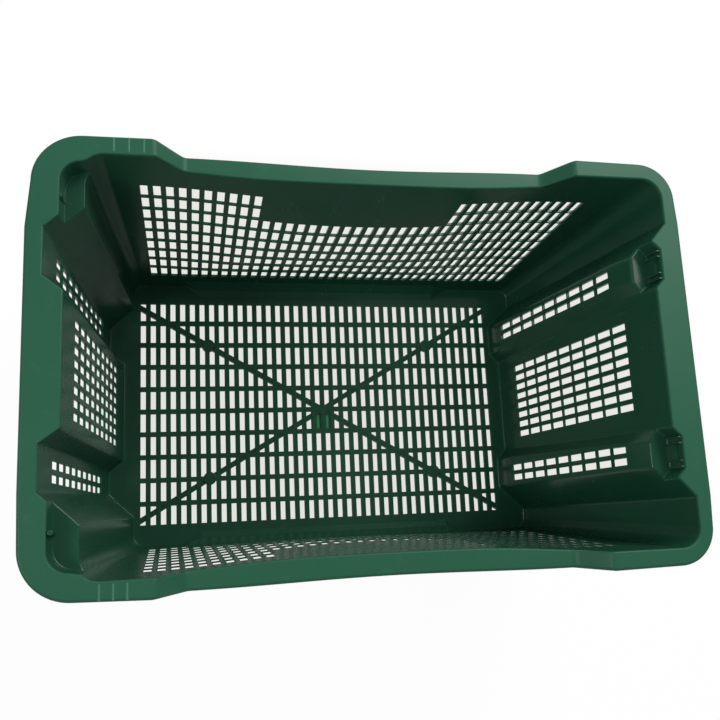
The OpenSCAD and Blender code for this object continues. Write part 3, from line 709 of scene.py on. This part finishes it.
def long_wall(name, thickness, front=False):
    """A sheet cut into a grid, bowed in and thickened; only the back one has its slots fanned and lower."""
    fan = 0 if front else 1
    bpy.ops.mesh.primitive_plane_add(
        size=1, location=((LEFT_SEAM + RIGHT_SEAM) / 2 * MM, 0, (FOOT + FLANGE_LOW) / 2 * MM), rotation=(pi / 2, 0, 0))
    piece = bpy.context.object
    piece.name = piece.data.name = name
    piece.scale = ((RIGHT_SEAM - LEFT_SEAM) * MM, (FLANGE_LOW - FOOT) * MM, 1)
    bpy.ops.object.transform_apply(location=True, rotation=True, scale=True)
    cuts = sorted(slot_sides(LONG_XS, SLOT_W) + [-SADDLE_HALF, -SLOPE_END, SLOPE_END])
    slice_at(piece, everywhere, cuts, (1, 0, 0))
    slice_at(piece, everywhere, sorted(slot_sides(ROW_Z, ROW_H) + [20, 30, SADDLE_WALL_TOP]), (0, 0, 1))
    # the top follows the saddle, just under its rim, and rises by 22 over the 25 mm of each slope
    edit(piece)
    for s in (-1, 1):
        pick_faces(piece, lambda c, n: SADDLE_HALF < c.x * s < SLOPE_END)
        bpy.ops.mesh.bisect(plane_co=(s * SADDLE_HALF * MM, 0, SLOPE_WALL_LOW * MM),
                            plane_no=Vector((-22 * s, 0, 25)).normalized())
    done()

    def above_rim(c, n):
        slope = SLOPE_WALL_LOW + 22 / 25 * (abs(c.x) - SADDLE_HALF)
        return c.z > SADDLE_WALL_TOP - 0.1 and abs(c.x) < SLOPE_END and c.z > slope

    def in_slot(c, n):
        return (any(abs(c.x - x) < 2.9 for x in LONG_XS)
                and any(abs(c.z - z) < 3 and (j < BLANK_ROWS or abs(c.x) > BLANK_HALF) for j, z in enumerate(ROW_Z)))
    drop_faces(piece, above_rim)
    drop_faces(piece, in_slot)
    net = edit(piece)
    for v in net.verts:
        x, z = v.co.x / MM, v.co.z / MM
        if 31 < z < 268 and LEFT_SEAM + 1 < x < RIGHT_SEAM - 1:
            x, z = x + fan * fanned(x, z), z - fan * BACK_ROWS_LOWER
        v.co = x * MM, (side_y(z) - bow(x, z, front)) * MM, z * MM
    bmesh.update_edit_mesh(piece.data)
    done()
    face_inwards(piece)
    thicken(piece, thickness)
    near = near_slot(LONG_XS)
    round_slots(piece, lambda m: m.z < 264 and -185 < m.x < 206.5 and near(
        m.x - fan * fanned(m.x, m.z + BACK_ROWS_LOWER), m.z + fan * BACK_ROWS_LOWER))
    return piece


back_wall = long_wall("long_wall_back_sheet", BACK_WALL)
front_wall = long_wall("long_wall_front_sheet", FRONT_WALL, True)
other_side(front_wall)
finish_pair(back_wall, front_wall, WALL_GREEN_PAINTED_SHADE, "body", "long_wall")


# Rims
def top_edge(seams, outer):
    """Picks the long upper edges of a rim piece: the outer ones or the inner ones, but not its joints."""
    def on_joint(f):
        return any(abs(f.normal[axis]) > 0.9 and abs(abs(f.calc_center_median()[axis]) / MM - abs(place)) < 0.1
                   for axis, place in seams)

    def test(e):
        if len(e.link_faces) != 2:
            return False
        a, b = sorted(e.link_faces, key=lambda f: -f.normal.z)
        if a.normal.z < 0.5 or abs(b.normal.z) > 0.4 or middle(e).z < 270 or on_joint(b):
            return False
        m = middle(e)
        return (b.normal.x * m.x + b.normal.y * m.y > 0) == outer
    return test


def plan_plate(name, outline, top, thickness):
    """A flat plate: its outline is drawn point by point, filled, and pulled down to its thickness."""
    piece = folded_wall(name, [at([*outline, outline[0]], top)])
    edit(piece)
    bpy.ops.mesh.select_mode(type="VERT")
    bpy.ops.mesh.select_all(action="SELECT")
    bpy.ops.mesh.edge_face_add()
    bpy.ops.mesh.extrude_region_move(TRANSFORM_OT_translate={"value": (0, 0, -thickness * MM)})
    face_outwards()
    done()
    return piece


def round_rim(piece, seams):
    bevel_edges(piece, top_edge(seams, True), OUTER_ROUND, 4)
    bevel_edges(piece, top_edge(seams, False), INNER_ROUND, 3)


def rim_outline(r, inset, first_y, tuck):
    """Outer edge of a corner rim; tuck is how far its rounding is drawn in along x and y."""
    arc_points = arc(-HALF_LENGTH + r + tuck[0], HALF_WIDTH - r - tuck[1], r - inset, 16)
    return [(-HALF_LENGTH + inset, first_y), *arc_points, (-SLOPE_END, HALF_WIDTH - inset)]


def corner_rim(name, inner, r, tuck):
    first_y = inner[0][1]
    flange = plan_plate(name, [*rim_outline(r, 0, first_y, tuck), *reversed(inner)], TOP, FLANGE)
    round_rim(flange, [(1, first_y), (0, SLOPE_END)])
    skirt = plan_plate(
        name + "_skirt", [*rim_outline(r, 0, first_y, tuck), *reversed(rim_outline(r, SKIRT, first_y, tuck))],
        FLANGE_LOW, FLANGE_LOW - SKIRT_LOW)
    bevel_edges(skirt, lambda e: middle(e).z < SKIRT_LOW + 0.1 and fold_angle(e) > 60, 0.5, 2)
    return joined([flange, skirt], name)


def end_rim(name, back, front):
    first, last = -front[-1][1], back[-1][1]
    path = [*[(x, -y) for x, y in reversed(front)], *back]
    flange = plan_plate(name, [(-HALF_LENGTH, first), *path, (-HALF_LENGTH, last)], TOP, FLANGE)
    round_rim(flange, [(1, first), (1, last)])
    out, inside = -HALF_LENGTH, SKIRT - HALF_LENGTH
    skirt = plan_plate(name + "_skirt", [(out, first), (inside, first), (inside, last), (out, last)],
                       FLANGE_LOW, FLANGE_LOW - SKIRT_LOW)
    bevel_edges(skirt, lambda e: middle(e).z < SKIRT_LOW + 0.1 and abs(middle(e).y) < 1, 0.5, 2)
    return joined([flange, skirt], name)


def rim_height(x):
    """Top of the long side rims: low in the saddle, with a soft bend at each end of the slope."""
    a, slope = abs(x), 22 / 21.5
    if a <= 148:
        return SADDLE_TOP
    if a < 154:
        return SADDLE_TOP + slope * (a - 148) ** 2 / 12
    if a <= 170:
        return 276.07 + slope * (a - 154)
    return TOP - slope * (SLOPE_END - a) ** 2 / 10


def rim_reach(x, front):
    """Outer edge of the long side rims: bowed in along the saddle, out to the corners on the slopes."""
    reach, dip, rise = (166.8, 2.4, 3.2) if front else (165.5, 3, 4.5)
    if abs(x) < SADDLE_HALF:
        return reach - dip * (1 + cos(pi * x / SADDLE_HALF)) / 2
    return reach + rise * (abs(x) - SADDLE_HALF) / (SLOPE_END - SADDLE_HALF)


def side_rim(name, front=False):
    """Top flange and skirt of one long side, drawn as six lines along the rim.

    Its inner edge stands just proud of the wall below it.
    """
    half = [*range(0, 121, 15), 134, 144, 148, 149.5, 151, 152.5, 154, 158, 162, 166, 170, 171.2, 172.5, 173.8,
            SLOPE_END]
    xs = [-x for x in reversed(half[1:])] + half
    rows = [[], [], [], [], [], []]
    for x in xs:
        z, out = rim_height(x), rim_reach(x, front)
        inner, inside, low = side_y(z) - bow(x, z, front) - 0.08, out - SKIRT, z - SADDLE_SKIRT
        section = ((inner, z), (out, z), (out, low), (inside, low), (inside, z - FLANGE), (inner, z - FLANGE))
        for row, (y, height) in zip(rows, section):
            row.append((x, y, height))
    piece = folded_wall(name, rows + [rows[0]])
    edit(piece)
    bpy.ops.mesh.select_mode(type="VERT")
    face_outwards()
    done()
    round_rim(piece, [(0, SLOPE_END)])
    bevel_edges(piece, lambda e: fold_angle(e) > 60
                and abs(middle(e).z - rim_height(middle(e).x) + SADDLE_SKIRT) < 0.4, 0.5, 2)
    edit(piece)
    bpy.ops.mesh.select_mode(type="VERT")
    bpy.ops.mesh.select_all(action="SELECT")
    bpy.ops.mesh.fill_holes(sides=0)
    face_outwards()
    done()
    return piece


edge_y = side_y(FLANGE_LOW) - bow(SLOPE_END, FLANGE_LOW)


def left_inner(faces, high):
    """Inner edge of a left corner rim, from its seam with the end rim to its seam with the side rim."""
    return [faces[2], *high[1:-1], (-SLOPE_END, edge_y)]


back_faces, front_faces = left_faces(FLANGE_LOW), left_faces(FLANGE_LOW, FRONT_PULL)
left_rim = end_rim("left_rim_finished", back_faces[:3], front_faces[:3])
back_inner = left_inner(back_faces, left_corner_high(FLANGE_LOW))
front_inner = left_inner(front_faces, high_front(FLANGE_LOW))
left_corner_rim = corner_rim("left_corner_rim_back_finished", back_inner, LEFT_CORNER_R, (3.2, 0.4))
left_corner_rim_front = corner_rim("left_corner_rim_front_finished", front_inner, LEFT_CORNER_R, (0.8, 1.4))
right_half = [*right_strip_high(FLANGE_LOW)[1:5], right_faces(FLANGE_LOW)[3]]
right_rim = end_rim("right_rim_finished", right_half, right_half)
right_inner = [*right_corner_path(FLANGE_LOW)[1:-1], (-SLOPE_END, edge_y)]
right_corner_rim = corner_rim("right_corner_rim_back_finished", right_inner, RIGHT_CORNER_R, (1.2, 0.8))
other_end(right_rim)
other_end(right_corner_rim)
back_rim = side_rim("side_rim_back_finished")
front_rim = side_rim("side_rim_front_finished", True)
other_side(front_rim)
other_side(left_corner_rim_front)

finish(left_rim, RIM_GREEN, "rim", "left_rim")
finish(right_rim, RIM_GREEN, "rim", "right_rim")
finish_pair(left_corner_rim, left_corner_rim_front, RIM_GREEN, "rim", "left_corner_rim")
finish_pair(right_corner_rim, front_twin(right_corner_rim), RIM_GREEN, "rim", "right_corner_rim")
finish_pair(back_rim, front_rim, RIM_GREEN, "rim", "slope_rim_left", "saddle_rim", "slope_rim_right")


# Small parts
def pocket_parts():
    """In each right pocket: a raised pad on the back wall between two recesses, and thin upright ribs."""
    back_low = end_x(SEAT) + POCKET_OUT
    lean = end_x(FLANGE_LOW) + POCKET_OUT - back_low
    low, high = right_strip_high(SEAT)[2][1], right_strip_high(SEAT)[3][1]
    centre = (low + high) / 2
    pad = block("pocket_pad", (back_low - 2.4, back_low + 0.5, centre - 6.8, centre + 6.8, SEAT - 0.5, 288),
                lean * 0.75)
    bevel_edges(pad, lambda e: middle(e).x < 241.9 and fold_angle(e) > 60, 0.8, 3)
    parts = [pad]
    for y in (low + 1.2, centre - 7.2, centre + 7.2, high - 1.2):
        rib = block("pocket_rib", (back_low - 3.2, back_low + 0.5, y - 0.6, y + 0.6, SEAT - 0.5, 293.5), lean)
        bevel_edges(rib, lambda e: fold_angle(e) > 60, 0.35, 2)
        parts.append(rib)
    return joined(parts, "right_pocket_ribs_back_finished")


back_ribs = pocket_parts()
front_ribs = front_twin(back_ribs)
finish(back_ribs, WALL_GREEN_PAINTED_SHADE, "body", "right_pocket_ribs")
finish(front_ribs, WALL_GREEN_PAINTED_SHADE, "body", "right_pocket_ribs")

# The raised rim bars get the lighter bar green, a painted highlight.
BAR_Y = 162.75
bars = []
for y, xs in ((BAR_Y, (-181, -192, -203)), (-BAR_Y, (-191.5, -200.7, -210))):
    for x in xs:
        bars.append(block("rim_bar", (x - 1, x + 1, y - 5.6, y + 5.6, 294.8, 295.4), narrow=(0.3, 0.94)))
rim_bars = joined(bars, "rim_bars_finished")
finish(rim_bars, BAR_GREEN_PAINTED_HIGHLIGHT, "rim", "rim_bars")

GRID_X, GRID_Y, GRID_THICK = 194.63, 118.28, 3.5
FLOOR_SLOT_W, FLOOR_SLOT_L, FLOOR_PITCH = 5.25, 18.65, 23.75
FLOOR_XS = [PITCH * (i - 18.5) for i in range(38)]
FLOOR_YS = [FLOOR_PITCH * (j - 4.5) for j in range(10)]
DIAGONAL = radians(30.2)
bpy.ops.mesh.primitive_plane_add(size=1, location=(0, 0, FLOOR * MM))
grid = bpy.context.object
grid.name = grid.data.name = "floor_grid"
grid.scale = (2 * GRID_X * MM, 2 * GRID_Y * MM, 1)
bpy.ops.object.transform_apply(location=True, rotation=True, scale=True)
slice_at(grid, everywhere, slot_sides(FLOOR_XS, FLOOR_SLOT_W), (1, 0, 0))
slice_at(grid, everywhere, slot_sides(FLOOR_YS, FLOOR_SLOT_L), (0, 1, 0))
drop_faces(grid, lambda c, n: any(abs(c.x - x) < 1 for x in FLOOR_XS) and any(abs(c.y - y) < 1 for y in FLOOR_YS))
thicken(grid, GRID_THICK)
bevel_edges(grid, lambda e: fold_angle(e) > 60 and middle(e).z > 6.4 and abs(middle(e).x) < GRID_X - 1
            and abs(middle(e).y) < GRID_Y - 1, 0.45, 2)
finish(grid, FLOOR_GREEN_PAINTED_SHADE, "body", "floor_grille")

for name, turn_by in (("a", DIAGONAL), ("b", -DIAGONAL)):
    rib = block("diagonal_bar_" + name, (-226, 226, -2.75, 2.75, 0.05, 5.7))
    bevel_edges(rib, lambda e: middle(e).z > 5.6 and abs(middle(e).x) < 10, 0.5, 2)
    edit(rib)
    bpy.ops.mesh.select_all(action="SELECT")
    bpy.ops.transform.rotate(value=turn_by, orient_axis="Z", center_override=(0, 0, 0))
    done()
    finish(rib, FLOOR_GREEN_PAINTED_SHADE, "body", "diagonal_rib_" + name)


def knob(name, x, y, radius, top):
    bpy.ops.mesh.primitive_cylinder_add(vertices=40, radius=radius * MM, depth=top * MM,
                                        location=(x * MM, y * MM, top / 2 * MM))
    piece = bpy.context.object
    piece.name = piece.data.name = name
    bpy.ops.object.transform_apply(location=True, rotation=True, scale=True)
    bevel_edges(piece, lambda e: middle(e).z > top - 0.1 and fold_angle(e) > 60, 1.0, 4)
    return piece


hub = knob("hub_finished", 0, 0, 5.6, 6.4)
finish(hub, FLOOR_GREEN_PAINTED_SHADE, "body", "gate_hub")
BOSS_REACH = 141
BOSS_X, BOSS_Y = BOSS_REACH * cos(DIAGONAL), BOSS_REACH * sin(DIAGONAL)
bosses = joined([knob("boss", a * BOSS_X, b * BOSS_Y, 6.7, 7.1) for a in (-1, 1) for b in (-1, 1)],
                "rib_bosses_finished")
finish(bosses, FLOOR_GREEN_PAINTED_SHADE, "body", "rib_bosses")
# The gate webs get the light web green: painted light shining through them.
webs = joined([block("gate_web", (x - 2.7, x + 2.7, -21.3, -2.6, 3.0, 4.6), narrow=(0.06, 0.6))
               for x in (-PITCH / 2, PITCH / 2)], "gate_webs_finished")
finish(webs, WEB_GREEN_PAINTED_BACKLIGHT, "thin_web", "gate_webs")

# The nodes that stay as they are only get the materials
for name, n in nodes.items():
    if not n.hide_render:
        n.data.materials.clear()
        n.data.materials.append(
            WEB_GREEN_PAINTED_BACKLIGHT if name == "gate_webs" else RIM_GREEN if name == "rim_bars" else
            FLOOR_GREEN_PAINTED_SHADE if name.startswith(("floor", "foot", "diagonal", "rib", "gate")) else WALL_GREEN_PAINTED_SHADE)

# Stage: a white ground that keeps the tub's shadow, with a painted shadow under the tub that makes it a little darker
# where it is seen through the floor
bpy.ops.mesh.primitive_plane_add(size=12, location=(0, 0, -0.0003))
ground = bpy.context.object
ground.name = "ground"
paper = bpy.data.materials.new("ground_white")
paper.use_nodes = True
tree = paper.node_tree
shader = tree.nodes["Principled BSDF"]
shader.inputs["Base Color"].default_value = (0.8, 0.8, 0.8, 1)
shader.inputs["Roughness"].default_value = 0.9
shader.inputs["Specular IOR Level"].default_value = 0.1
glow = node(tree, "ShaderNodeEmission")
glow.inputs["Strength"].default_value = 1.03
path = node(tree, "ShaderNodeLightPath")
blend = node(tree, "ShaderNodeMixShader")
share = node(tree, "ShaderNodeMath", operation="MULTIPLY")
share.inputs[1].default_value = 0.92
seen_ray = node(tree, "ShaderNodeMath", operation="MULTIPLY_ADD")
seen_ray.inputs[1].default_value = 0.45
tree.links.new(path.outputs["Is Glossy Ray"], seen_ray.inputs[0])
tree.links.new(path.outputs["Is Camera Ray"], seen_ray.inputs[2])
tree.links.new(seen_ray.outputs["Value"], share.inputs[0])
# Painted shadow: a soft-edged patch on the ground's own coordinates, under the tub.
spot = node(tree, "ShaderNodeTexCoord")
spread = node(tree, "ShaderNodeMapping", vector_type="TEXTURE")
spread.inputs["Location"].default_value = (0.075, 0.060, 0)
spread.inputs["Scale"].default_value = (0.375, 0.240, 1)
tree.links.new(spot.outputs["Object"], spread.inputs["Vector"])
sides = node(tree, "ShaderNodeSeparateXYZ")
tree.links.new(spread.outputs["Vector"], sides.inputs["Vector"])
fades = []
for axis in ("X", "Y"):
    far = node(tree, "ShaderNodeMath", operation="ABSOLUTE")
    tree.links.new(sides.outputs[axis], far.inputs[0])
    fade = node(tree, "ShaderNodeMapRange", interpolation_type="SMOOTHSTEP")
    for name, value in (("From Min", 0.76), ("From Max", 1.02), ("To Min", 1.0), ("To Max", 0.0)):
        fade.inputs[name].default_value = value
    tree.links.new(far.outputs["Value"], fade.inputs["Value"])
    fades.append(fade)
under = node(tree, "ShaderNodeMath", operation="MULTIPLY")
tree.links.new(fades[0].outputs["Result"], under.inputs[0])
tree.links.new(fades[1].outputs["Result"], under.inputs[1])
# The ground's glow is greyed to a warm off-white inside the patch, a painted shadow seen through the slots.
shade = node(tree, "ShaderNodeMix", data_type="RGBA")
shade.inputs["A"].default_value = (1, 1, 1, 1)
shade.inputs["B"].default_value = (0.80, 0.82, 0.76, 1)
tree.links.new(under.outputs["Value"], shade.inputs["Factor"])
tree.links.new(shade.outputs["Result"], glow.inputs["Color"])
tree.links.new(share.outputs["Value"], blend.inputs["Fac"])
tree.links.new(shader.outputs["BSDF"], blend.inputs[1])
tree.links.new(glow.outputs["Emission"], blend.inputs[2])
tree.links.new(blend.outputs["Shader"], tree.nodes["Material Output"].inputs["Surface"])
ground.data.materials.append(paper)

# Soft white light all round, and plain white where the camera sees past the ground
world = bpy.data.worlds.new("studio")
scene.world = world
world.use_nodes = True
tree = world.node_tree
sky = tree.nodes["Background"]
sky.inputs["Color"].default_value = (1, 1, 1, 1)
clear = node(tree, "ShaderNodeBackground")
clear.inputs["Color"].default_value = (1, 1, 1, 1)
path = node(tree, "ShaderNodeLightPath")
dim = node(tree, "ShaderNodeMath", operation="MULTIPLY_ADD")
dim.inputs[1].default_value = -0.17
dim.inputs[2].default_value = 0.29
tree.links.new(path.outputs["Is Glossy Ray"], dim.inputs[0])
tree.links.new(dim.outputs["Value"], sky.inputs["Strength"])
blend = node(tree, "ShaderNodeMixShader")
tree.links.new(path.outputs["Is Camera Ray"], blend.inputs["Fac"])
tree.links.new(sky.outputs["Background"], blend.inputs[1])
tree.links.new(clear.outputs["Background"], blend.inputs[2])
tree.links.new(blend.outputs["Shader"], tree.nodes["World Output"].inputs["Surface"])


def lamp(name, place, size, power):
    """A soft rectangular light aimed at the inside of the tub."""
    light = bpy.data.objects.new(name, bpy.data.lights.new(name, "AREA"))
    scene.collection.objects.link(light)
    light.data.shape = "RECTANGLE"
    light.data.size, light.data.size_y = size
    light.data.energy = power
    light.location = place
    light.rotation_euler = (Vector((0, 0, 0.2)) - Vector(place)).to_track_quat("-Z", "Y").to_euler()


lamp("softbox", (0.85, 0.95, 1.4), (1.1, 0.8), 19)
lamp("fill", (-1.2, -0.25, 1.5), (0.45, 0.45), 7.5)
